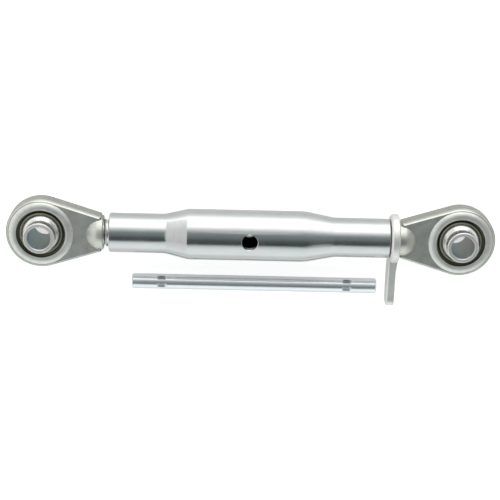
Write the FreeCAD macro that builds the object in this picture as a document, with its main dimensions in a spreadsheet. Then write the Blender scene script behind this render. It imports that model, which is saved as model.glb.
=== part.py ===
import FreeCAD, Part

import os
from math import cos, radians, sin

import Sketcher

# Tractor top link, Category 1, lying flat. +X runs along the link, +Z along the pin bores,
# and the origin is the middle of the barrel, where the tommy bar's cross hole runs through.
# Two forged eye ends screw into the barrel with opposite threads, so turning the barrel
# moves both in or out together. A lever nut on one shank locks the barrel.

# name, millimetres or degrees, what it is
SIZES = [
    # pins and balls
    ("pin_bore", 19.3, "bore of each ball, for a Category 1 pin"),
    ("ball_width", 44.0, "ball over its collars"),
    ("ball_diameter", 37.0, "sphere of each ball"),
    ("collar_diameter", 26.0, "collars that stand out of the eye"),
    ("collar_chamfer", 0.7, "outer edge of a collar"),
    ("bore_chamfer", 0.6, "mouths of the ball's bore"),
    ("socket_clearance", 0.15, "between ball and socket"),
    # forged eye
    ("eye_diameter", 58.4, "outside of the eye"),
    ("web_thickness", 16.0, "flat of the forging"),
    ("web_angle", 17.5, "taper of the web's sides"),
    ("web_chamfer", 1.8, "forged edge round the web"),
    ("ring_diameter", 53.6, "outside of the raised rim round the ball"),
    ("ring_inner_edge", 1.7, "rim's height over the web at the recess"),
    ("ring_crown", 6.2, "radius of the rim's crowned face"),
    ("recess_diameter", 40.8, "opening in the raised rim"),
    ("recess_floor", 5.6, "height of the recess floor over the eye's middle"),
    ("lip_height", 8.2, "height of the lip that is rolled over the ball"),
    ("lip_diameter", 34.8, "outside of the lip at its top"),
    ("lip_root_diameter", 37.4, "outside of the lip at the recess floor"),
    # neck of the eye and its shank
    ("shoulder_distance", 51.4, "eye centre to shoulder face"),
    ("shoulder_diameter", 29.0, "round shoulder at the end of the web"),
    ("shoulder_length", 1.8, "shoulder face to the end of the web"),
    ("shoulder_chamfer", 0.6, "edge of the shoulder face"),
    ("dome_diameter", 30.0, "domed boss that carries the shoulder"),
    ("dome_set", 1.1, "dome's centre inside the shoulder face"),
    ("dome_start_diameter", 14.0, "dome where it starts inside the web"),
    ("thread_diameter", 24.0, "outside of the shank's thread"),
    ("shank_length", 111.0, "shoulder face to shank tip"),
    ("shank_chamfer", 2.5, "lead at the tip of the shank"),
    ("relief_length", 1.6, "thread relief next to the shoulder"),
    ("relief_depth", 1.2, "depth of that relief"),
    # barrel
    ("barrel_length", 233.5, "barrel end to end"),
    ("tube_diameter", 42.4, "middle of the barrel"),
    ("tube_wall", 5.0, "wall in the middle"),
    ("neck_diameter", 33.0, "swaged ends"),
    ("neck_length", 46.0, "straight part of each swaged end"),
    ("left_swage_length", 19.5, "taper at the left end"),
    ("right_swage_length", 24.5, "taper at the right end"),
    ("left_swage_blend", 6.0, "radius from taper to tube on the left"),
    ("right_swage_blend", 30.0, "radius from taper to tube on the right"),
    ("neck_blend", 16.0, "radius from neck to taper"),
    ("barrel_chamfer", 0.8, "outer edge of the barrel's ends"),
    ("mouth_chamfer", 1.5, "lead into each threaded bore"),
    ("thread_clearance", 0.06, "running fit between shank and bore"),
    ("cross_hole", 13.2, "hole for the tommy bar"),
    ("cross_hole_chamfer", 0.5, "edge of the cross hole"),
    # where the ends stand
    ("left_gap", 4.8, "thread left open between left shoulder and barrel"),
    ("right_gap", 0.6, "thread left open between barrel and lock nut"),
    ("seat_gap", 0.2, "play between lock nut and right shoulder"),
    # lock nut and its lever
    ("nut_diameter", 41.0, "round body of the lock nut"),
    ("nut_thickness", 6.8, "lock nut along the link"),
    ("nut_front_edge", 1.4, "outer edge of the nut on the barrel's side"),
    ("nut_back_edge", 0.8, "outer edge of the nut on the eye's side"),
    ("nut_chamfer", 1.2, "lead into the nut's thread"),
    ("lever_reach", 58.4, "link axis to the tip of the lever"),
    ("lever_width", 18.0, "lever across"),
    ("lever_thickness", 6.8, "lever along the link"),
    ("lever_set", 0.9, "how far the lever is set towards the barrel"),
    ("lever_root", 15.0, "where the lever starts in the nut's body"),
    ("lever_neck_play", 0.8, "lever to the barrel's neck"),
    ("lever_front_bend", 8.0, "length of the set on the barrel's side"),
    ("lever_back_bend", 8.0, "length of the set on the eye's side"),
    ("lever_tip_radius", 6.0, "corners of the lever's tip"),
    ("lever_edge", 1.4, "rounded edges of the lever"),
    # tommy bar
    ("bar_diameter", 12.9, "tommy bar"),
    ("bar_length", 209.0, "tommy bar end to end"),
    ("bar_chamfer", 1.0, "ends of the bar"),
    ("crimp_inset", 25.5, "bar end to the middle of its crimp"),
    ("crimp_length", 8.0, "dent along the bar"),
    ("crimp_width", 3.6, "dent across the bar"),
    ("crimp_depth", 1.1, "dent into the bar"),
    ("crimp_turn", 18.0, "middle of a pair of dents, turned from the top"),
    ("crimp_spread", 31.0, "each dent of a pair, turned from their middle"),
    ("bar_distance", 48.1, "bar's axis to the link's axis"),
    ("bar_shift", 5.4, "bar's middle along the link"),
]

doc = FreeCAD.newDocument("TopLink")
sheet = doc.addObject("Spreadsheet::Sheet", "Sizes")
for row, (alias, value, note) in enumerate(SIZES, start=1):
    sheet.set("A%d" % row, note)
    sheet.set("B%d" % row, str(value))
    sheet.setAlias("B%d" % row, alias)
doc.recompute()


def size(alias):
    return float(sheet.get(alias))


def new_body(label):
    body = doc.addObject("PartDesign::Body", label)
    body.Label = label
    return body


def new_sketch(body, name, plane):
    """An empty sketch on one of the body's own origin planes."""
    sketch = body.newObject("Sketcher::SketchObject", name)
    face = [part for part in body.Origin.OriginFeatures if part.Role == plane][0]
    sketch.AttachmentSupport = [(face, "")]
    sketch.MapMode = "FlatFace"
    return sketch


def pin(sketch, geometry, end, x, y):
    """Fixes a point of the sketch at coordinates that are formulas of the sizes."""
    for kind, formula in (("DistanceX", x), ("DistanceY", y)):
        number = sketch.addConstraint(Sketcher.Constraint(kind, geometry, end, 1.0))
        sketch.setExpression("Constraints[%d]" % number, formula)


def outline(body, name, plane, corners, arcs=None):
    """A closed profile through the corners. arcs gives, for a side that is an arc,
    its radius as a formula and a point near its middle."""
    arcs = arcs or {}
    sketch = new_sketch(body, name, plane)
    count = len(corners)
    sides = {}
    for side in range(count):
        if side in arcs:
            continue
        start = FreeCAD.Vector(side, 1, 0)
        end = FreeCAD.Vector(side, 2, 0)
        line = sketch.addGeometry(Part.LineSegment(start, end), False)
        pin(sketch, line, 1, *corners[side])
        pin(sketch, line, 2, *corners[(side + 1) % count])
        sides[side] = line
    doc.recompute()
    for side, (radius, middle) in arcs.items():
        before = sides[(side - 1) % count]
        after = sides[(side + 1) % count]
        start = sketch.getPoint(before, 2)
        end = sketch.getPoint(after, 1)
        through = FreeCAD.Vector(middle[0], middle[1], 0)
        curve = Part.ArcOfCircle(start, through, end)
        arc = sketch.addGeometry(curve, False)
        first = sketch.getPoint(arc, 1)
        same_way = first.distanceToPoint(start) < first.distanceToPoint(end)
        near, far = (1, 2) if same_way else (2, 1)
        sketch.addConstraint(Sketcher.Constraint("Coincident", arc, near, before, 2))
        sketch.addConstraint(Sketcher.Constraint("Coincident", arc, far, after, 1))
        number = sketch.addConstraint(Sketcher.Constraint("Radius", arc, curve.Radius))
        sketch.setExpression("Constraints[%d]" % number, radius)
    doc.recompute()
    return sketch


def revolve(body, name, sketch, axis, kind="Revolution"):
    """Turns a profile a full turn about an axis of its sketch, to add or to cut."""
    turned = body.newObject("PartDesign::" + kind, name)
    turned.Profile = sketch
    turned.ReferenceAxis = (sketch, [axis])
    turned.Angle = 360.0
    doc.recompute()
    return turned


def pad(body, name, sketch, length):
    grown = body.newObject("PartDesign::Pad", name)
    grown.Profile = sketch
    grown.Midplane = True
    grown.setExpression("Length", length)
    doc.recompute()
    return grown


def cut_through(body, name, sketch):
    cut = body.newObject("PartDesign::Pocket", name)
    cut.Profile = sketch
    cut.Type = "ThroughAll"
    cut.Midplane = True
    doc.recompute()
    return cut


def circles_at(feature, axis, place, radius):
    """Names of the full circles of a radius whose centre lies at a place along an axis."""
    names = []
    for number, edge in enumerate(feature.Shape.Edges, start=1):
        curve = edge.Curve
        if not isinstance(curve, Part.Circle):
            continue
        along = getattr(curve.Center, axis)
        if abs(along - place) < 1e-4 and abs(curve.Radius - radius) < 1e-4:
            names.append("Edge%d" % number)
    return names


def straight_edges(feature, direction, axis, place):
    """Names of the straight edges along a direction whose middle lies at a place."""
    names = []
    for number, edge in enumerate(feature.Shape.Edges, start=1):
        if not isinstance(edge.Curve, Part.Line):
            continue
        along = abs(edge.Curve.Direction.dot(direction)) > 0.9999
        if along and abs(getattr(edge.CenterOfMass, axis) - place) < 1e-4:
            names.append("Edge%d" % number)
    return names


def is_round(face, kind, radius):
    surface = face.Surface
    return isinstance(surface, kind) and abs(surface.Radius - radius) < 1e-4


def curves_between(feature, kind, radius, other_kind, other_radius):
    """Names of the edges where two round walls of given radii meet."""
    names = []
    for number, edge in enumerate(feature.Shape.Edges, start=1):
        walls = feature.Shape.ancestorsOfType(edge, Part.Face)
        one = [w for w in walls if is_round(w, kind, radius)]
        other = [w for w in walls if is_round(w, other_kind, other_radius)]
        if one and other:
            names.append("Edge%d" % number)
    return names


def flat_faces(feature, axis, places):
    """Names of the plane faces square to an axis that lie at one of the places along it."""
    names = []
    for number, face in enumerate(feature.Shape.Faces, start=1):
        if not isinstance(face.Surface, Part.Plane):
            continue
        square = abs(getattr(face.normalAt(0, 0), axis)) > 0.9999
        place = getattr(face.CenterOfMass, axis)
        if square and min(abs(place - wanted) for wanted in places) < 1e-4:
            names.append("Face%d" % number)
    return names


def edges_in_planes(feature, places, beyond):
    """Names of the edges in planes square to X, whose middles lie beyond a distance along -Y."""
    names = []
    for number, edge in enumerate(feature.Shape.Edges, start=1):
        box = edge.BoundBox
        in_plane = min(abs(box.XMin - x) + abs(box.XMax - x) for x in places) < 1e-4
        if in_plane and -edge.CenterOfMass.y > beyond:
            names.append("Edge%d" % number)
    return names


def dress(body, kind, name, base, names, prop, formula):
    """A fillet or chamfer on named edges or faces of a feature."""
    dressed = body.newObject("PartDesign::" + kind, name)
    dressed.Base = (base, names)
    dressed.setExpression(prop, formula)
    doc.recompute()
    return dressed


# ---- barrel: one tube, swaged down at both ends and tapped left and right handed

HALF = "Sizes.barrel_length / 2"
NECK = "Sizes.neck_diameter / 2"
TUBE = "Sizes.tube_diameter / 2"
THREADED = "Sizes.thread_diameter / 2 + Sizes.thread_clearance"
INSIDE = "Sizes.tube_diameter / 2 - Sizes.tube_wall"
LEFT_NECK = "-(%s - Sizes.neck_length)" % HALF
RIGHT_NECK = "%s - Sizes.neck_length" % HALF
LEFT_TUBE = "%s + Sizes.left_swage_length" % LEFT_NECK
RIGHT_TUBE = "%s - Sizes.right_swage_length" % RIGHT_NECK

barrel = new_body("barrel")
wall = outline(barrel, "barrel_wall", "XZ_Plane", [
    ("-(%s)" % HALF, THREADED + " + Sizes.mouth_chamfer"),
    ("-(%s)" % HALF, NECK + " - Sizes.barrel_chamfer"),
    ("-(%s) + Sizes.barrel_chamfer" % HALF, NECK),
    (LEFT_NECK, NECK),
    (LEFT_TUBE, TUBE),
    (RIGHT_TUBE, TUBE),
    (RIGHT_NECK, NECK),
    (HALF + " - Sizes.barrel_chamfer", NECK),
    (HALF, NECK + " - Sizes.barrel_chamfer"),
    (HALF, THREADED + " + Sizes.mouth_chamfer"),
    (HALF + " - Sizes.mouth_chamfer", THREADED),
    (RIGHT_NECK, THREADED),
    (RIGHT_TUBE, INSIDE),
    (LEFT_TUBE, INSIDE),
    (LEFT_NECK, THREADED),
    ("-(%s) + Sizes.mouth_chamfer" % HALF, THREADED),
])
swaged = revolve(barrel, "swaged_tube", wall, "H_Axis")

neck_end = size("barrel_length") / 2 - size("neck_length")
neck_radius = size("neck_diameter") / 2
tube_radius = size("tube_diameter") / 2
roots = circles_at(swaged, "x", -neck_end, neck_radius)
roots += circles_at(swaged, "x", neck_end, neck_radius)
blended = dress(barrel, "Fillet", "neck_roots", swaged, roots, "Radius", "Sizes.neck_blend")
left_rim = circles_at(blended, "x", size("left_swage_length") - neck_end, tube_radius)
blended = dress(barrel, "Fillet", "left_swage", blended, left_rim, "Radius",
                "Sizes.left_swage_blend")
right_rim = circles_at(blended, "x", neck_end - size("right_swage_length"), tube_radius)
blended = dress(barrel, "Fillet", "right_swage", blended, right_rim, "Radius",
                "Sizes.right_swage_blend")

cross = new_sketch(barrel, "cross_hole_circle", "XY_Plane")
centre = FreeCAD.Vector(0, 0, 0)
upward = FreeCAD.Vector(0, 0, 1)
drill = cross.addGeometry(Part.Circle(centre, upward, size("cross_hole") / 2), False)
cross.addConstraint(Sketcher.Constraint("Coincident", drill, 3, -1, 1))
width = cross.addConstraint(Sketcher.Constraint("Diameter", drill, size("cross_hole")))
cross.setExpression("Constraints[%d]" % width, "Sizes.cross_hole")
solid_before = blended.Shape.Volume
drilled = cut_through(barrel, "cross_hole_drilled", cross)
if drilled.Shape.Volume >= solid_before:
    raise RuntimeError("the cross hole cut nothing")
mouths = curves_between(drilled, Part.Cylinder, size("cross_hole") / 2,
                        Part.Cylinder, tube_radius)
dress(barrel, "Chamfer", "cross_hole_edge", drilled, mouths, "Size",
      "Sizes.cross_hole_chamfer")

# ---- balls: a sphere with a collar each way, bored through for the pin

BALL = "Sizes.ball_diameter / 2"
COLLAR = "Sizes.collar_diameter / 2"
FACE = "Sizes.ball_width / 2"
BORE = "Sizes.pin_bore / 2"
COLLAR_ROOT = "sqrt((%s) ^ 2 - (%s) ^ 2)" % (BALL, COLLAR)


def make_ball(label):
    ball = new_body(label)
    section = outline(ball, label + "_section", "XZ_Plane", [
        (BORE, "-(%s - Sizes.bore_chamfer)" % FACE),
        (BORE + " + Sizes.bore_chamfer", "-(%s)" % FACE),
        (COLLAR + " - Sizes.collar_chamfer", "-(%s)" % FACE),
        (COLLAR, "-(%s - Sizes.collar_chamfer)" % FACE),
        (COLLAR, "-(%s)" % COLLAR_ROOT),
        (COLLAR, COLLAR_ROOT),
        (COLLAR, "%s - Sizes.collar_chamfer" % FACE),
        (COLLAR + " - Sizes.collar_chamfer", FACE),
        (BORE + " + Sizes.bore_chamfer", FACE),
        (BORE, "%s - Sizes.bore_chamfer" % FACE),
    ], {4: (BALL, (size("ball_diameter") / 2, 0.0))})
    revolve(ball, label + "_turned", section, "V_Axis")
    return ball


# ---- eye ends: forged eye, tapered web, round shoulder and threaded shank

EYE = "Sizes.eye_diameter / 2"
WEB = "Sizes.web_thickness / 2"
RING = "Sizes.ring_diameter / 2"
RECESS = "Sizes.recess_diameter / 2"
RING_EDGE = "%s + Sizes.ring_inner_edge" % WEB
SOCKET = "%s + Sizes.socket_clearance" % BALL
SOCKET_MOUTH = "sqrt((%s) ^ 2 - Sizes.lip_height ^ 2)" % SOCKET
SHOULDER = "Sizes.shoulder_distance"
SHANK = "Sizes.thread_diameter / 2"
BOSS = "Sizes.shoulder_diameter / 2"
DOME = "Sizes.dome_diameter / 2"
DOME_CENTRE = "%s - Sizes.dome_set" % SHOULDER
DOME_START = "%s - sqrt((%s) ^ 2 - (Sizes.dome_start_diameter / 2) ^ 2)" % (DOME_CENTRE, DOME)
DOME_END = "%s - sqrt((%s) ^ 2 - (%s) ^ 2)" % (DOME_CENTRE, DOME, BOSS)
WEB_END = "%s - Sizes.shoulder_length" % SHOULDER
ABOVE = "Sizes.ball_width / 2"


def make_eye_end(label):
    """The eye's centre is at the body's origin and the shank runs along +X."""
    end = new_body(label)
    tangent_x = EYE + " * sin(Sizes.web_angle)"
    tangent_y = EYE + " * cos(Sizes.web_angle)"
    end_y = "%s / cos(Sizes.web_angle) - (%s) * tan(Sizes.web_angle)" % (EYE, WEB_END)
    flat = outline(end, label + "_plan", "XY_Plane", [
        (tangent_x, tangent_y),
        (WEB_END, end_y),
        (WEB_END, "-(%s)" % end_y),
        (tangent_x, "-(%s)" % tangent_y),
    ], {3: (EYE, (-size("eye_diameter") / 2, 0.0))})
    forged = pad(end, label + "_web", flat, "Sizes.web_thickness")
    half_web = size("web_thickness") / 2
    forged = dress(end, "Chamfer", label + "_forged_edge", forged,
                   flat_faces(forged, "z", (-half_web, half_web)), "Size", "Sizes.web_chamfer")

    crown_at = (size("ring_diameter") + size("recess_diameter")) / 4
    crown_top = half_web + size("ring_inner_edge")
    rim = outline(end, label + "_rim_section", "XZ_Plane", [
        (RECESS, "-(%s)" % RING_EDGE),
        (RING, "-(%s)" % WEB),
        (RING, WEB),
        (RECESS, RING_EDGE),
    ], {
        0: ("Sizes.ring_crown", (crown_at, -crown_top)),
        2: ("Sizes.ring_crown", (crown_at, crown_top)),
    })
    revolve(end, label + "_raised_rim", rim, "V_Axis")

    dome_radius = size("dome_diameter") / 2
    dome_centre = size("shoulder_distance") - size("dome_set")
    dome_middle = (dome_centre - dome_radius * cos(radians(50)), dome_radius * sin(radians(50)))
    neck = outline(end, label + "_shank_section", "XZ_Plane", [
        (DOME_START, "0"),
        (DOME_START, "Sizes.dome_start_diameter / 2"),
        (DOME_END, BOSS),
        (SHOULDER + " - Sizes.shoulder_chamfer", BOSS),
        (SHOULDER, BOSS + " - Sizes.shoulder_chamfer"),
        (SHOULDER, SHANK + " - Sizes.relief_depth"),
        (SHOULDER + " + Sizes.relief_length", SHANK + " - Sizes.relief_depth"),
        (SHOULDER + " + Sizes.relief_length", SHANK),
        (SHOULDER + " + Sizes.shank_length - Sizes.shank_chamfer", SHANK),
        (SHOULDER + " + Sizes.shank_length", SHANK + " - Sizes.shank_chamfer"),
        (SHOULDER + " + Sizes.shank_length", "0"),
    ], {1: (DOME, dome_middle)})
    necked = revolve(end, label + "_shank", neck, "H_Axis")

    socket = outline(end, label + "_socket_section", "XZ_Plane", [
        ("0", "-(%s)" % ABOVE),
        (RECESS, "-(%s)" % ABOVE),
        (RECESS, "-Sizes.recess_floor"),
        ("Sizes.lip_root_diameter / 2", "-Sizes.recess_floor"),
        ("Sizes.lip_diameter / 2", "-Sizes.lip_height"),
        (SOCKET_MOUTH, "-Sizes.lip_height"),
        (SOCKET_MOUTH, "Sizes.lip_height"),
        ("Sizes.lip_diameter / 2", "Sizes.lip_height"),
        ("Sizes.lip_root_diameter / 2", "Sizes.recess_floor"),
        (RECESS, "Sizes.recess_floor"),
        (RECESS, ABOVE),
        ("0", ABOVE),
    ], {5: (SOCKET, (size("ball_diameter") / 2, 0.0))})
    revolve(end, label + "_socket", socket, "V_Axis", "Groove")
    if end.Shape.Volume >= necked.Shape.Volume:
        raise RuntimeError("the socket cut nothing in " + label)
    return end


# ---- lock nut: a round nut with a lever of the same piece, set towards the barrel

NUT_FACE = "Sizes.nut_thickness / 2"
NUT = "Sizes.nut_diameter / 2"
LEVER_FRONT = "-%s - Sizes.lever_set" % NUT_FACE
LEVER_BACK = "%s + Sizes.lever_thickness" % LEVER_FRONT
LEVER_CLEAR = "%s + Sizes.lever_neck_play" % NECK

nut = new_body("lock_nut")
ring = outline(nut, "nut_section", "XZ_Plane", [
    ("-(%s)" % NUT_FACE, THREADED + " + Sizes.nut_chamfer"),
    ("-(%s)" % NUT_FACE, NUT + " - Sizes.nut_front_edge"),
    ("-(%s) + Sizes.nut_front_edge" % NUT_FACE, NUT),
    (NUT_FACE + " - Sizes.nut_back_edge", NUT),
    (NUT_FACE, NUT + " - Sizes.nut_back_edge"),
    (NUT_FACE, THREADED + " + Sizes.nut_chamfer"),
    (NUT_FACE + " - Sizes.nut_chamfer", THREADED),
    ("-(%s) + Sizes.nut_chamfer" % NUT_FACE, THREADED),
])
revolve(nut, "nut_ring", ring, "H_Axis")
side = outline(nut, "lever_side", "XY_Plane", [
    ("-(%s)" % NUT_FACE, "-Sizes.lever_root"),
    (NUT_FACE, "-Sizes.lever_root"),
    (NUT_FACE, "-(%s)" % LEVER_CLEAR),
    (LEVER_BACK, "-(%s + Sizes.lever_back_bend)" % LEVER_CLEAR),
    (LEVER_BACK, "-Sizes.lever_reach"),
    (LEVER_FRONT, "-Sizes.lever_reach"),
    (LEVER_FRONT, "-(%s + Sizes.lever_front_bend)" % LEVER_CLEAR),
    ("-(%s)" % NUT_FACE, "-(%s)" % LEVER_CLEAR),
])
lever = pad(nut, "lever", side, "Sizes.lever_width")
tip = straight_edges(lever, FreeCAD.Vector(1, 0, 0), "y", -size("lever_reach"))
tipped = dress(nut, "Fillet", "lever_tip", lever, tip, "Radius", "Sizes.lever_tip_radius")
lever_front = -size("nut_thickness") / 2 - size("lever_set")
lever_faces = (lever_front, lever_front + size("lever_thickness"))
longer_bend = max(size("lever_front_bend"), size("lever_back_bend"))
bend_end = size("neck_diameter") / 2 + size("lever_neck_play") + longer_bend
rims = edges_in_planes(tipped, lever_faces, bend_end + size("lever_edge"))
dress(nut, "Fillet", "lever_edges", tipped, rims, "Radius", "Sizes.lever_edge")

# ---- tommy bar: a round bar with a ring of crimp dents near each end

bar = new_body("tommy_bar")
BAR = "Sizes.bar_diameter / 2"
BAR_END = "Sizes.bar_length / 2"
rod = outline(bar, "bar_section", "XZ_Plane", [
    ("-(%s)" % BAR_END, "0"),
    ("-(%s)" % BAR_END, BAR + " - Sizes.bar_chamfer"),
    ("-(%s) + Sizes.bar_chamfer" % BAR_END, BAR),
    (BAR_END + " - Sizes.bar_chamfer", BAR),
    (BAR_END, BAR + " - Sizes.bar_chamfer"),
    (BAR_END, "0"),
])
turned_bar = revolve(bar, "bar_round", rod, "H_Axis")
solid_before = turned_bar.Shape.Volume

# each dent is the mark of a round-nosed tool pressed in square to the bar
DENT_X = "(%s - Sizes.crimp_inset)" % BAR_END
DEEP = "Sizes.crimp_depth"
NOSE = "((Sizes.crimp_length / 2) ^ 2 + %s ^ 2) / (2 * %s)" % (DEEP, DEEP)
TOOL_Y = "(%s + %s - %s)" % (BAR, NOSE, DEEP)
HALF_WIDTH = "Sizes.crimp_width / 2"
DENT_TURNS = (
    "(Sizes.crimp_turn - Sizes.crimp_spread)",
    "(Sizes.crimp_turn + Sizes.crimp_spread)",
    "(180 + Sizes.crimp_turn - Sizes.crimp_spread)",
    "(180 + Sizes.crimp_turn + Sizes.crimp_spread)",
)
for end, side in (("left", "-"), ("right", "")):
    for number, turn in enumerate(DENT_TURNS):
        name = "%s_dent_%d" % (end, number)
        dent = bar.newObject("PartDesign::SubtractiveCylinder", name)
        across = "%s * sin(%s) - %s * cos(%s)" % (TOOL_Y, turn, HALF_WIDTH, turn)
        up = "%s * cos(%s) + %s * sin(%s)" % (TOOL_Y, turn, HALF_WIDTH, turn)
        dent.setExpression("Radius", NOSE)
        dent.setExpression("Height", "Sizes.crimp_width")
        dent.setExpression(".Placement.Base.x", side + DENT_X)
        dent.setExpression(".Placement.Base.y", across)
        dent.setExpression(".Placement.Base.z", up)
        dent.setExpression(".Placement.Rotation.Axis.x", "-1")
        dent.setExpression(".Placement.Rotation.Axis.y", "0")
        dent.setExpression(".Placement.Rotation.Axis.z", "0")
        dent.setExpression(".Placement.Rotation.Angle", "%s + 90" % turn)
        doc.recompute()
if bar.Shape.Volume >= solid_before:
    raise RuntimeError("the crimps cut nothing")
bar.setExpression(".Placement.Base.x", "Sizes.bar_shift")
bar.setExpression(".Placement.Base.y", "-Sizes.bar_distance")
bar.setExpression(".Placement.Base.z", "%s - %s" % (BAR, FACE))

# ---- the two ends, opposite hands of the same forging

LEFT_EYE = "-(%s + Sizes.left_gap + %s)" % (HALF, SHOULDER)
NUT_PLACE = "%s + Sizes.right_gap + %s" % (HALF, NUT_FACE)
RIGHT_EYE = "%s + %s + Sizes.seat_gap + %s" % (NUT_PLACE, NUT_FACE, SHOULDER)
half_turn = FreeCAD.Placement(centre, FreeCAD.Rotation(upward, 180))

nut.setExpression(".Placement.Base.x", NUT_PLACE)
left_ball = make_ball("left_ball")
left_ball.setExpression(".Placement.Base.x", LEFT_EYE)
right_ball = make_ball("right_ball")
right_ball.setExpression(".Placement.Base.x", RIGHT_EYE)
left_eye = make_eye_end("left_eye_end")
left_eye.setExpression(".Placement.Base.x", LEFT_EYE)
right_eye = make_eye_end("right_eye_end")
right_eye.Placement = half_turn
right_eye.setExpression(".Placement.Base.x", RIGHT_EYE)

doc.recompute()

# ---- every feature and piece has to be sound before anything is written

for obj in doc.Objects:
    if "Invalid" in obj.State or "Error" in obj.State:
        raise RuntimeError("%s failed: %s" % (obj.Name, obj.State))
pieces = [barrel, left_eye, right_eye, left_ball, right_ball, nut, bar]
for piece in pieces:
    if piece.Shape.isNull() or not piece.Shape.isValid():
        raise RuntimeError(piece.Label + " has no sound shape")

os.makedirs("parts", exist_ok=True)
for piece in pieces:
    piece.Shape.exportStep("parts/%s.step" % piece.Label)
    print("%s: %.0f mm3" % (piece.Label, piece.Shape.Volume))
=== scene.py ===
import math

import bmesh
import bpy
from mathutils import Matrix, Vector


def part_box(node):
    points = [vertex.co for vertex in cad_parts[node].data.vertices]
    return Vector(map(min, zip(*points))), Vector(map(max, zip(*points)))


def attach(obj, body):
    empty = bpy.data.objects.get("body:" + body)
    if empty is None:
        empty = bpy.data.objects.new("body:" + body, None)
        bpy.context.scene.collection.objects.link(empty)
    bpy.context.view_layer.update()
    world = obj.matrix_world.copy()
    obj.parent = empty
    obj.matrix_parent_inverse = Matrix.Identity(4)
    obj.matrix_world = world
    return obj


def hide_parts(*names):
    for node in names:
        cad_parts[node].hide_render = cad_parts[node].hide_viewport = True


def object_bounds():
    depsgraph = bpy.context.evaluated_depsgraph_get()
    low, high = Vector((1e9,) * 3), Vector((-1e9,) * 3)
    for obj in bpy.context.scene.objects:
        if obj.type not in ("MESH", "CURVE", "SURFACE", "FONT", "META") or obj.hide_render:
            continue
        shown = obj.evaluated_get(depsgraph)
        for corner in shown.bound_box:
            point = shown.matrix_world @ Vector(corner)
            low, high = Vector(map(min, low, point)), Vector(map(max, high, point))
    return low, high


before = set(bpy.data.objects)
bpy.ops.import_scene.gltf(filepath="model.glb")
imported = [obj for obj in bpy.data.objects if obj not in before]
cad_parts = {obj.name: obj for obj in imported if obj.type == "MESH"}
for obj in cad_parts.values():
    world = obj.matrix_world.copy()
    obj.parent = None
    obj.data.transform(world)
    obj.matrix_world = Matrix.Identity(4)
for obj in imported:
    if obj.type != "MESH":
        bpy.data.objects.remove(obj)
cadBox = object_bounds()
mm = 0.001


# shader groups that more than one finish uses


def newGroup(name, inputs, outputs):
    group = bpy.data.node_groups.new(name, "ShaderNodeTree")
    for label, kind, value in inputs:
        socket = group.interface.new_socket(label, in_out="INPUT", socket_type=kind)
        socket.default_value = value
    for label, kind in outputs:
        group.interface.new_socket(label, in_out="OUTPUT", socket_type=kind)
    return group, group.nodes.new("NodeGroupInput"), group.nodes.new("NodeGroupOutput")


def addNode(tree, kind, **settings):
    node = tree.nodes.new("ShaderNode" + kind)
    for key, value in settings.items():
        setattr(node, key, value)
    return node


def feed(tree, socket, source):
    # a socket takes either another node's output or a fixed value
    if isinstance(source, bpy.types.NodeSocket):
        tree.links.new(source, socket)
    else:
        socket.default_value = source


def maths(tree, operation, first, second=None, third=None, clamp=False):
    node = addNode(tree, "Math", operation=operation, use_clamp=clamp)
    for socket, source in zip(node.inputs, (first, second, third)):
        if source is not None:
            feed(tree, socket, source)
    return node.outputs[0]


def noiseAt(tree, vector, scale, detail, roughness=0.5):
    node = addNode(tree, "TexNoise")
    for label, source in (("Vector", vector), ("Scale", scale), ("Detail", detail),
                          ("Roughness", roughness)):
        feed(tree, node.inputs[label], source)
    return node.outputs["Fac"]


def stretched(tree, vector, stretch):
    node = addNode(tree, "VectorMath", operation="MULTIPLY")
    feed(tree, node.inputs[0], vector)
    feed(tree, node.inputs[1], stretch)
    return node.outputs[0]


def makeGrainGroup():
    # fine lines left by drawing, rolling or turning; Stretch is small along the lines
    group, given, made = newGroup(
        "toolGrain",
        [("Vector", "NodeSocketVector", (0, 0, 0)), ("Stretch", "NodeSocketVector", (1, 1, 1)),
         ("Scale", "NodeSocketFloat", 1500.0)],
        [("Height", "NodeSocketFloat"), ("Tone", "NodeSocketFloat")])
    lines = stretched(group, given.outputs["Vector"], given.outputs["Stretch"])
    fine = noiseAt(group, lines, given.outputs["Scale"], 2.0)
    coarse = noiseAt(group, lines, maths(group, "MULTIPLY", given.outputs["Scale"], 0.22), 3.0, 0.6)
    both = maths(group, "ADD", maths(group, "MULTIPLY", fine, 0.45), maths(group, "MULTIPLY", coarse, 0.55))
    feed(group, made.inputs["Height"], both)
    feed(group, made.inputs["Tone"], coarse)
    return group


def makeMottleGroup():
    # slow clouding of the plating
    group, given, made = newGroup(
        "platingMottle",
        [("Vector", "NodeSocketVector", (0, 0, 0)), ("Scale", "NodeSocketFloat", 90.0)],
        [("Cloud", "NodeSocketFloat"), ("Speck", "NodeSocketFloat")])
    cloud = noiseAt(group, given.outputs["Vector"], given.outputs["Scale"], 3.0, 0.55)
    speckScale = maths(group, "MULTIPLY", given.outputs["Scale"], 11.0)
    speck = noiseAt(group, given.outputs["Vector"], speckScale, 2.0)
    feed(group, made.inputs["Cloud"], cloud)
    feed(group, made.inputs["Speck"], maths(group, "MULTIPLY_ADD", speck, 6.0, -3.4, clamp=True))
    return group


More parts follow.
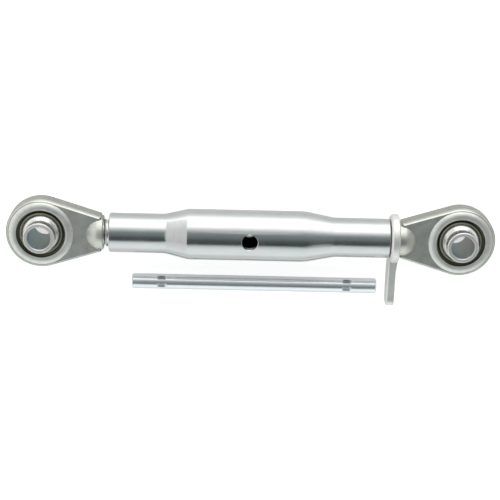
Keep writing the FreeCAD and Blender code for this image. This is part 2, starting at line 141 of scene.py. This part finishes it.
def makeScratchGroup():
    # short handling scratches, thin bands of a warped noise
    group, given, made = newGroup(
        "handlingMarks",
        [("Vector", "NodeSocketVector", (0, 0, 0)), ("Scale", "NodeSocketFloat", 60.0),
         ("Width", "NodeSocketFloat", 0.012)],
        [("Mask", "NodeSocketFloat")])
    marks = []
    for turn, stretch in enumerate(((1.0, 0.16, 0.3), (0.2, 1.0, 0.5), (0.7, 0.25, 1.0))):
        placed = stretched(group, given.outputs["Vector"], stretch)
        scale = maths(group, "MULTIPLY", given.outputs["Scale"], 1.0 + 0.37 * turn)
        line = noiseAt(group, placed, scale, 1.0)
        away = maths(group, "ABSOLUTE", maths(group, "SUBTRACT", line, 0.5))
        marks.append(maths(group, "LESS_THAN", away, given.outputs["Width"]))
    patch = noiseAt(group, given.outputs["Vector"], 45.0, 1.0)
    here = maths(group, "GREATER_THAN", patch, 0.56)
    either = maths(group, "MAXIMUM", maths(group, "MAXIMUM", marks[0], marks[1]), marks[2])
    feed(group, made.inputs["Mask"], maths(group, "MULTIPLY", either, here))
    return group


# distances from the pin's axis, and heights over the middle of the eye
eyePlaces = {"recessRadius": 20.55 * mm, "recessHeight": 9.5 * mm, "lipRadius": 17.9 * mm,
             "lipHeight": 7.5 * mm, "rimInner": 20.3 * mm, "rimOuter": 26.95 * mm, "raisedHeight": 8.03 * mm,
             "edgeRadius": 26.0 * mm, "edgeLow": 7.1 * mm, "edgeHigh": 7.97 * mm, "bossRadius": 36.0 * mm}


def makeZoneGroup():
    # places on an eye end, from the distance to the pin's axis and the height over the middle
    group, given, made = newGroup(
        "eyeZones",
        [("Vector", "NodeSocketVector", (0, 0, 0)), ("Centre", "NodeSocketFloat", 0.0)],
        [("Recess", "NodeSocketFloat"), ("Lip", "NodeSocketFloat"), ("Rim", "NodeSocketFloat"),
         ("Edge", "NodeSocketFloat"),
         ("Side", "NodeSocketFloat"), ("Boss", "NodeSocketFloat")])
    parts = addNode(group, "SeparateXYZ")
    feed(group, parts.inputs[0], given.outputs["Vector"])
    along = maths(group, "SUBTRACT", parts.outputs["X"], given.outputs["Centre"])
    across = parts.outputs["Y"]
    radius = maths(group, "SQRT", maths(group, "ADD", maths(group, "MULTIPLY", along, along),
                                        maths(group, "MULTIPLY", across, across)))
    height = maths(group, "ABSOLUTE", parts.outputs["Z"])
    inside = maths(group, "LESS_THAN", radius, eyePlaces["recessRadius"])
    ring = maths(group, "MULTIPLY", maths(group, "GREATER_THAN", radius, eyePlaces["rimInner"]),
                 maths(group, "LESS_THAN", radius, eyePlaces["rimOuter"]))
    raised = maths(group, "GREATER_THAN", height, eyePlaces["raisedHeight"])
    # painted shade: the recess round the ball, marked for a dark tint
    feed(group, made.inputs["Recess"],
         maths(group, "MULTIPLY", inside, maths(group, "LESS_THAN", height, eyePlaces["recessHeight"])))
    feed(group, made.inputs["Lip"],
         maths(group, "MULTIPLY", maths(group, "LESS_THAN", radius, eyePlaces["lipRadius"]),
               maths(group, "GREATER_THAN", height, eyePlaces["lipHeight"])))
    feed(group, made.inputs["Rim"], maths(group, "MULTIPLY", ring, raised))
    # painted shade: the bevel round the eye's outer edge, marked for a darker tint
    bevel = maths(group, "MULTIPLY", maths(group, "GREATER_THAN", height, eyePlaces["edgeLow"]),
                  maths(group, "LESS_THAN", height, eyePlaces["edgeHigh"]))
    feed(group, made.inputs["Edge"],
         maths(group, "MULTIPLY", bevel, maths(group, "GREATER_THAN", radius, eyePlaces["edgeRadius"])))
    # painted shade: the side walls below the bevel, marked for a darker tint
    wall = maths(group, "MULTIPLY", maths(group, "LESS_THAN", height, eyePlaces["edgeLow"]),
                 maths(group, "GREATER_THAN", radius, eyePlaces["recessRadius"]))
    beyond = maths(group, "GREATER_THAN", radius, eyePlaces["bossRadius"])
    boss = maths(group, "MULTIPLY", beyond, raised)
    feed(group, made.inputs["Side"], maths(group, "SUBTRACT", wall, boss, clamp=True))
    feed(group, made.inputs["Boss"], boss)
    return group


toolGrain = makeGrainGroup()
platingMottle = makeMottleGroup()
handlingMarks = makeScratchGroup()
eyeZones = makeZoneGroup()
print("shader groups made")


def placeGroup(tree, group, **values):
    node = tree.nodes.new("ShaderNodeGroup")
    node.node_tree = group
    for label, value in values.items():
        feed(tree, node.inputs[label], value)
    return node


def mixColour(tree, share, first, second, blend="MIX"):
    node = addNode(tree, "Mix", data_type="RGBA", blend_type=blend)
    feed(tree, node.inputs["Factor"], share)
    feed(tree, node.inputs[6], first)
    feed(tree, node.inputs[7], second)
    return node.outputs[2]


def metalFinish(name, look, zones=None):
    # zones gives, from the object's own coordinates, (mask, tint, roughness change) for special places
    material = bpy.data.materials.new(name)
    material.use_nodes = True
    tree = material.node_tree
    shader = tree.nodes["Principled BSDF"]
    shader.inputs["Metallic"].default_value = look.get("metallic", 1.0)
    place = addNode(tree, "TexCoord").outputs["Object"]
    grain = placeGroup(tree, toolGrain, Vector=place, Stretch=look["stretch"], Scale=look["grainScale"])
    mottle = placeGroup(tree, platingMottle, Vector=place, Scale=look["mottleScale"])
    marks = placeGroup(tree, handlingMarks, Vector=place, Scale=look["markScale"])
    tone = maths(tree, "ADD", maths(tree, "MULTIPLY", mottle.outputs["Cloud"], look["cloudShare"]),
                 maths(tree, "MULTIPLY", grain.outputs["Tone"], look["grainShare"]), clamp=True)
    colour = mixColour(tree, tone, look["dark"] + (1,), look["light"] + (1,))
    colour = mixColour(tree, maths(tree, "MULTIPLY", mottle.outputs["Speck"], look["speck"]),
                       colour, look["dark"] + (1,))
    rough = maths(tree, "MULTIPLY_ADD", mottle.outputs["Cloud"], look["roughSpread"],
                  look["roughness"] - 0.5 * look["roughSpread"])
    rough = maths(tree, "MULTIPLY_ADD", marks.outputs["Mask"], look["markRough"], rough)
    for mask, tint, change in (zones(tree, place) if zones else ()):
        tinted = mixColour(tree, mask, (1, 1, 1, 1), tint + (1,))
        colour = mixColour(tree, 1.0, colour, tinted, "MULTIPLY")
        rough = maths(tree, "MULTIPLY_ADD", mask, change, rough, clamp=True)
    feed(tree, shader.inputs["Base Color"], colour)
    feed(tree, shader.inputs["Roughness"], rough)
    bump = addNode(tree, "Bump")
    bump.inputs["Strength"].default_value = look["bump"]
    bump.inputs["Distance"].default_value = look["bumpDepth"]
    height = maths(tree, "MULTIPLY_ADD", marks.outputs["Mask"], -look["markDepth"], grain.outputs["Height"])
    height = maths(tree, "MULTIPLY_ADD", mottle.outputs["Cloud"], look.get("wave", 0.0), height)
    feed(tree, bump.inputs["Height"], height)
    tree.links.new(bump.outputs["Normal"], shader.inputs["Normal"])
    return material


# eye ends: the forged head of the CAD node, and a shank with its real screw thread
shankLook = {"major": 12.0, "minor": 10.4, "pitch": 3.0, "length": 111.0, "relief": 1.6, "steps": 48,
             "tipLead": 2.5, "startLead": 1.0, "overlap": 0.3, "sharpAngle": 32.0}


def shadeRound(mesh, angle):
    # smooth across soft bends and crisp over edges sharper than the angle
    for face in mesh.polygons:
        face.use_smooth = True
    mesh.set_sharp_from_angle(angle=math.radians(angle))


def cutAway(form, place, side):
    # removes what lies beyond a plane square to X, on the side given, and closes the cut
    geometry = form.verts[:] + form.edges[:] + form.faces[:]
    cut = bmesh.ops.bisect_plane(form, geom=geometry, dist=1e-7, plane_co=(place, 0, 0),
                                 plane_no=(side, 0, 0), clear_outer=True)
    rim = [part for part in cut["geom_cut"] if isinstance(part, bmesh.types.BMEdge)]
    bmesh.ops.holes_fill(form, edges=rim, sides=0)


def threadForm(start, end, hand):
    # one helical sheet from start to end along X; the profile runs crest, flank, root, flank
    major, minor, pitch = (shankLook[key] * mm for key in ("major", "minor", "pitch"))
    profile = ((0.0, major), (0.125, major), (0.43, minor), (0.695, minor))
    steps = shankLook["steps"]
    low, high = min(start, end), max(start, end)
    turns = math.ceil((high - low) / pitch) + 4
    form = bmesh.new()
    rows = []
    for step in range(steps):
        angle = 2 * math.pi * step / steps
        row = []
        for count in range(turns * len(profile)):
            turn, corner = divmod(count, len(profile))
            offset, radius = profile[corner]
            place = low + pitch * (turn - 2 + offset + hand * step / steps)
            fromTip = abs(place - end)
            fromStart = abs(place - start)
            radius = min(radius, major - shankLook["tipLead"] * mm + fromTip if fromTip < 0.01 else radius)
            radius = min(radius, major - shankLook["startLead"] * mm + fromStart)
            row.append(form.verts.new((place, radius * math.cos(angle), radius * math.sin(angle))))
        rows.append(row)
    for step, row in enumerate(rows):
        last = step == steps - 1
        following = rows[0] if last else rows[step + 1]
        shift = hand * len(profile) if last else 0
        for count in range(len(row) - 1):
            near, far = count + shift, count + 1 + shift
            if 0 <= near and far < len(following):
                form.faces.new((row[count], row[count + 1], following[far], following[near]))
    cutAway(form, low, -1)
    cutAway(form, high, 1)
    bmesh.ops.recalc_face_normals(form, faces=form.faces[:])
    return form


def makePiece(name, form, body, angle):
    mesh = bpy.data.meshes.new(name)
    form.to_mesh(mesh)
    form.free()
    if "custom_normal" in mesh.attributes:  # left over from the CAD mesh, and wrong for the cut one
        mesh.attributes.remove(mesh.attributes["custom_normal"])
    shadeRound(mesh, angle)
    piece = bpy.data.objects.new(name, mesh)
    bpy.context.scene.collection.objects.link(piece)
    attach(piece, body)
    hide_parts(body)
    return piece


def makeEyeEnd(node, side):
    # side is +1 where the shank points along +X
    low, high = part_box(node)
    tip = high.x if side > 0 else low.x
    shoulder = tip - side * shankLook["length"] * mm
    relief = shoulder + side * shankLook["relief"] * mm
    form = bmesh.new()
    form.from_mesh(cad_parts[node].data)
    bmesh.ops.remove_doubles(form, verts=form.verts[:], dist=1e-7)
    cutAway(form, (shoulder + relief) / 2, side)
    head = makePiece(node.replace("_end", "_head"), form, node, 28.0)
    screw = threadForm(relief - side * shankLook["overlap"] * mm, tip, side)
    thread = makePiece(node.replace("eye_end", "thread"), screw, node, shankLook["sharpAngle"])
    return head, thread


leftHead, leftThread = makeEyeEnd("left_eye_end", 1)
rightHead, rightThread = makeEyeEnd("right_eye_end", -1)
print("threaded eye ends made")


barrelLook = {
    "light": (0.68, 0.69, 0.685), "dark": (0.55, 0.565, 0.56), "roughness": 0.17, "roughSpread": 0.08,
    "wave": 2.2,
    "stretch": (0.12, 1, 1), "grainScale": 1300.0, "mottleScale": 60.0, "markScale": 55.0,
    "cloudShare": 0.6, "grainShare": 0.5, "speck": 0.2, "markRough": 0.04,
    "bump": 0.4, "bumpDepth": 0.0001, "markDepth": 0.08,
    # painted shade: the colours painted into the bore's middle and into its mouths
    "inside": (0.05, 0.055, 0.055), "insideRadius": 16.3 * mm, "insideReach": 100 * mm,
    "mouth": (0.25, 0.27, 0.25), "mouthRadius": 14.0 * mm,
}


def barrelZones(tree, place):
    # painted shade: the bore is painted nearly black through the middle and dark grey at its threaded mouths
    parts = addNode(tree, "SeparateXYZ")
    feed(tree, parts.inputs[0], place)
    square = maths(tree, "MULTIPLY_ADD", parts.outputs["Y"], parts.outputs["Y"],
                   maths(tree, "MULTIPLY", parts.outputs["Z"], parts.outputs["Z"]))
    radius = maths(tree, "SQRT", square)
    middle = maths(tree, "LESS_THAN", maths(tree, "ABSOLUTE", parts.outputs["X"]),
                   barrelLook["insideReach"])
    inner = maths(tree, "MULTIPLY", maths(tree, "LESS_THAN", radius, barrelLook["insideRadius"]), middle)
    hollow = maths(tree, "MULTIPLY", maths(tree, "LESS_THAN", radius, barrelLook["mouthRadius"]),
                   maths(tree, "SUBTRACT", 1.0, middle))
    return ((inner, barrelLook["inside"], 0.2), (hollow, barrelLook["mouth"], 0.15))


forgedLook = {
    "light": (0.86, 0.87, 0.83), "dark": (0.56, 0.57, 0.53), "roughness": 0.38, "roughSpread": 0.12,
    "stretch": (1, 1, 1), "grainScale": 900.0, "mottleScale": 110.0, "markScale": 70.0,
    "cloudShare": 0.6, "grainShare": 0.6, "speck": 0.45, "markRough": 0.04,
    "bump": 0.7, "bumpDepth": 0.00018, "markDepth": 0.1, "wave": 0.6,
    # painted shade: recess is the dark tint painted into the recess round the ball; lip makes the lip three
    # times lighter inside it
    "recess": (0.31, 0.31, 0.245), "lip": (3.0, 3.0, 3.0), "rim": (1.08, 1.08, 1.08),
    # painted shade: edge darkens the outer bevel and side darkens the side walls
    "edge": (0.86, 0.86, 0.85),
    "side": (0.62, 0.62, 0.6), "boss": (0.88, 0.89, 0.86),
}


def forgedZones(centre):
    def zones(tree, place):
        found = placeGroup(tree, eyeZones, Vector=place, Centre=centre).outputs
        # painted shade in the recess round the ball, with the lip lightened inside it
        return ((found["Recess"], forgedLook["recess"], 0.1), (found["Lip"], forgedLook["lip"], -0.1),
                (found["Rim"], forgedLook["rim"], 0.12),
                # painted shade on the outer bevel and on the side walls
                (found["Edge"], forgedLook["edge"], -0.06), (found["Side"], forgedLook["side"], 0.08),
                (found["Boss"], forgedLook["boss"], 0.02))
    return zones


ballLook = {
    "light": (0.80, 0.80, 0.79), "dark": (0.68, 0.68, 0.67), "roughness": 0.24, "roughSpread": 0.08,
    "stretch": (0.3, 0.3, 1), "grainScale": 1800.0, "mottleScale": 120.0, "markScale": 80.0,
    "cloudShare": 0.6, "grainShare": 0.5, "speck": 0.2, "markRough": 0.05,
    "bump": 0.25, "bumpDepth": 0.00004, "markDepth": 0.1,
    "cool": (0.80, 1.0, 1.04), "warm": (0.98, 0.93, 0.88), "boreRadius": 9.9 * mm,
    "face": (1.1, 1.1, 1.08), "faceHeight": 21.2 * mm,
}


def ballZones(centre):
    def zones(tree, place):
        # the bore's plating is blue on one side and straw on the other
        parts = addNode(tree, "SeparateXYZ")
        feed(tree, parts.inputs[0], place)
        along = maths(tree, "SUBTRACT", parts.outputs["X"], centre)
        square = maths(tree, "MULTIPLY_ADD", parts.outputs["Y"], parts.outputs["Y"],
                       maths(tree, "MULTIPLY", along, along))
        bore = maths(tree, "LESS_THAN", maths(tree, "SQRT", square), ballLook["boreRadius"])
        side = maths(tree, "MULTIPLY_ADD", along, 0.5 / ballLook["boreRadius"], 0.5, clamp=True)
        cool = maths(tree, "MULTIPLY", bore, maths(tree, "SUBTRACT", 1.0, side))
        warm = maths(tree, "MULTIPLY", bore, side)
        height = maths(tree, "ABSOLUTE", parts.outputs["Z"])
        face = maths(tree, "GREATER_THAN", height, ballLook["faceHeight"])
        return ((cool, ballLook["cool"], 0.12), (warm, ballLook["warm"], 0.12),
                (face, ballLook["face"], 0.25))
    return zones


nutLook = {
    "light": (0.93, 0.93, 0.90), "dark": (0.76, 0.76, 0.73), "roughness": 0.52, "roughSpread": 0.12,
    "stretch": (1, 0.5, 1), "grainScale": 1100.0, "mottleScale": 100.0, "markScale": 70.0,
    "cloudShare": 0.6, "grainShare": 0.5, "speck": 0.3, "markRough": 0.04,
    "bump": 0.4, "bumpDepth": 0.00008, "markDepth": 0.1,
}
barLook = {
    "light": (0.95, 0.97, 0.98), "dark": (0.80, 0.83, 0.85), "roughness": 0.2, "roughSpread": 0.08,
    # painted shade: dent is the dark colour painted into the pinched dents
    "metallic": 0.8, "dent": (0.42, 0.46, 0.48), "dentDepth": 0.12 * mm, "dentFade": 0.5 * mm,
    "plainEnd": 2 * mm,
    "stretch": (0.05, 1, 1), "grainScale": 1600.0, "mottleScale": 90.0, "markScale": 70.0,
    "cloudShare": 0.6, "grainShare": 0.5, "speck": 0.2, "markRough": 0.05,
    "bump": 0.4, "bumpDepth": 0.00006, "markDepth": 0.1,
}


def barZones(tree, place):
    # painted shade: the pinched dents near the ends are painted dark
    low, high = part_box("tommy_bar")
    middle = (low + high) / 2
    parts = addNode(tree, "SeparateXYZ")
    feed(tree, parts.inputs[0], place)
    offAxis = [maths(tree, "SUBTRACT", parts.outputs["YZ"[axis]], middle[axis + 1]) for axis in range(2)]
    square = maths(tree, "MULTIPLY_ADD", offAxis[0], offAxis[0],
                   maths(tree, "MULTIPLY", offAxis[1], offAxis[1]))
    sunk = maths(tree, "SUBTRACT", (high.y - low.y) / 2 - barLook["dentDepth"], maths(tree, "SQRT", square))
    sunk = maths(tree, "MULTIPLY", sunk, 1 / barLook["dentFade"], clamp=True)
    fromMiddle = maths(tree, "ABSOLUTE", maths(tree, "SUBTRACT", parts.outputs["X"], middle.x))
    inboard = maths(tree, "LESS_THAN", fromMiddle, (high.x - low.x) / 2 - barLook["plainEnd"])
    return ((maths(tree, "MULTIPLY", sunk, inboard), barLook["dent"], 0.12),)


threadLook = {
    "light": (0.86, 0.87, 0.86), "dark": (0.70, 0.71, 0.70), "roughness": 0.3, "roughSpread": 0.1,
    "stretch": (1, 1, 1), "grainScale": 1200.0, "mottleScale": 120.0, "markScale": 90.0,
    "cloudShare": 0.6, "grainShare": 0.5, "speck": 0.3, "markRough": 0.04,
    "bump": 0.3, "bumpDepth": 0.00004, "markDepth": 0.1,
}


def middleOf(node):
    low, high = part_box(node)
    return (low.x + high.x) / 2


leftCentre = middleOf("left_ball")
rightCentre = middleOf("right_ball")
finishes = {
    "barrel": metalFinish("barrelZinc", barrelLook, barrelZones),
    "left_ball": metalFinish("leftBallSteel", ballLook, ballZones(leftCentre)),
    "right_ball": metalFinish("rightBallSteel", ballLook, ballZones(rightCentre)),
    "lock_nut": metalFinish("nutZinc", nutLook),
    "tommy_bar": metalFinish("barZinc", barLook, barZones),
}
pieceFinishes = {
    leftHead: metalFinish("leftForgedZinc", forgedLook, forgedZones(leftCentre)),
    rightHead: metalFinish("rightForgedZinc", forgedLook, forgedZones(rightCentre)),
    leftThread: metalFinish("threadZinc", threadLook),
}
pieceFinishes[rightThread] = pieceFinishes[leftThread]
for piece, finish in pieceFinishes.items():
    piece.data.materials.clear()
    piece.data.materials.append(finish)

for name, finish in finishes.items():
    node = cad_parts[name]
    node.data.materials.clear()
    node.data.materials.append(finish)
print("finishes on")


floorLook = {"size": 8.0, "colour": (0.93, 0.93, 0.93, 1), "glow": 0.62, "nearGlow": 0.2, "farGlow": 1.0,
             "near": 0.03, "far": 0.2}


def makeFloor():
    height = cadBox[0][2]
    mesh = bpy.data.meshes.new("floor")
    half = floorLook["size"] / 2
    corners = [(-half, -half, height), (half, -half, height), (half, half, height), (-half, half, height)]
    mesh.from_pydata(corners, [], [(0, 1, 2, 3)])
    floor = bpy.data.objects.new("floor", mesh)
    bpy.context.scene.collection.objects.link(floor)
    material = bpy.data.materials.new("floorPaper")
    material.use_nodes = True
    shader = material.node_tree.nodes["Principled BSDF"]
    shader.inputs["Base Color"].default_value = floorLook["colour"]
    shader.inputs["Roughness"].default_value = 0.9
    shader.inputs["Emission Color"].default_value = (1, 1, 1, 1)
    # the paper is lit white to look at; where the metal mirrors it, it is dim nearby and brighter behind
    tree = material.node_tree
    seen = addNode(tree, "LightPath").outputs["Is Camera Ray"]
    parts = addNode(tree, "SeparateXYZ")
    feed(tree, parts.inputs[0], addNode(tree, "TexCoord").outputs["Object"])
    behind = addNode(tree, "MapRange", interpolation_type="SMOOTHSTEP")
    for label, source in (("Value", parts.outputs["Y"]), ("From Min", floorLook["near"]),
                          ("From Max", floorLook["far"]), ("To Min", floorLook["nearGlow"]),
                          ("To Max", floorLook["farGlow"])):
        feed(tree, behind.inputs[label], source)
    mirrored = behind.outputs["Result"]
    glow = maths(tree, "ADD", maths(tree, "MULTIPLY", seen, floorLook["glow"]),
                 maths(tree, "MULTIPLY", maths(tree, "SUBTRACT", 1.0, seen), mirrored))
    feed(tree, shader.inputs["Emission Strength"], glow)
    mesh.materials.append(material)


# the studio's ceiling by the angle from straight up towards -Y, in degrees: level, then how cool it is
skyBands = [(-180, 0.9, 0.0), (-120, 0.95, 0.0), (-96, 1.3, 0.0), (-88, 1.75, 0.0), (-54, 1.75, 0.0),
            (-44, 1.2, 0.0), (-36, 0.78, 0.2), (-29, 0.55, 0.6), (-20, 0.32, 1.0), (-10, 0.26, 1.0),
            (0, 0.2, 1.0), (10, 0.11, 1.0), (20, 0.07, 1.0), (29, 0.06, 1.0), (34, 0.5, 0.7), (42, 0.9, 0.5),
            (56, 1.08, 0.4), (75, 1.14, 0.4), (95, 1.05, 0.2), (180, 0.9, 0.0)]
coolTint = (0.87, 1.0, 1.01)
leftLight = {"level": 0.9, "from": -0.28, "to": -0.5}
rightLight = {"level": 0.4, "from": 0.35, "to": 0.8}


def makeSky():
    world = bpy.data.worlds.new("studio")
    bpy.context.scene.world = world
    world.use_nodes = True
    tree = world.node_tree
    background = tree.nodes["Background"]
    parts = addNode(tree, "SeparateXYZ")
    tree.links.new(addNode(tree, "TexCoord").outputs["Generated"], parts.inputs[0])
    across = maths(tree, "ARCTAN2", maths(tree, "MULTIPLY", parts.outputs["Y"], -1.0), parts.outputs["Z"])
    share = maths(tree, "MULTIPLY_ADD", across, 0.5 / math.pi, 0.5)
    ramp = addNode(tree, "ValToRGB").color_ramp
    rampNode = tree.nodes[-1]
    while len(ramp.elements) < len(skyBands):
        ramp.elements.new(0.5)
    for element, (angle, level, cool) in zip(ramp.elements, skyBands):
        element.position = (angle + 180) / 360
        element.color = [level / 2 * (1 + cool * (tint - 1)) for tint in coolTint] + [1]
    tree.links.new(share, rampNode.inputs["Fac"])
    colour = rampNode.outputs["Color"]
    for look in (leftLight, rightLight):
        sideways = addNode(tree, "MapRange", interpolation_type="SMOOTHSTEP")
        tree.links.new(parts.outputs["X"], sideways.inputs["Value"])
        sideways.inputs["From Min"].default_value = look["from"]
        sideways.inputs["From Max"].default_value = look["to"]
        level = look["level"] / 2
        colour = mixColour(tree, sideways.outputs["Result"], colour, (level, level, level, 1))
    tree.links.new(colour, background.inputs["Color"])
    background.inputs["Strength"].default_value = 2.0


cameraLook = {"tilt": 18.5, "yaw": 1.2, "roll": 1.66, "distance": 1.152, "lens": 98.9, "sensor": 36.0,
              "target": (0.0007, -0.013, 0.0)}


def makeCamera():
    tilt, yaw, roll = (math.radians(cameraLook[key]) for key in ("tilt", "yaw", "roll"))
    away = Vector((-math.sin(yaw), math.sin(tilt) * math.cos(yaw), math.cos(tilt) * math.cos(yaw)))
    up = (Vector((0, 1, 0)) - away * away.y).normalized()
    right = up.cross(away)
    right, up = right * math.cos(roll) + up * math.sin(roll), up * math.cos(roll) - right * math.sin(roll)
    data = bpy.data.cameras.new("view")
    data.lens = cameraLook["lens"]
    data.sensor_width = cameraLook["sensor"]
    data.clip_start = 0.02
    data.clip_end = 60
    camera = bpy.data.objects.new("view", data)
    bpy.context.scene.collection.objects.link(camera)
    turn = Matrix((right, up, away)).transposed().to_4x4()
    place = Vector(cameraLook["target"]) + away * cameraLook["distance"]
    camera.matrix_world = Matrix.Translation(place) @ turn
    bpy.context.scene.camera = camera


makeFloor()
makeSky()
makeCamera()
bpy.context.scene.view_settings.view_transform = "Standard"
print("floor, light and camera set")
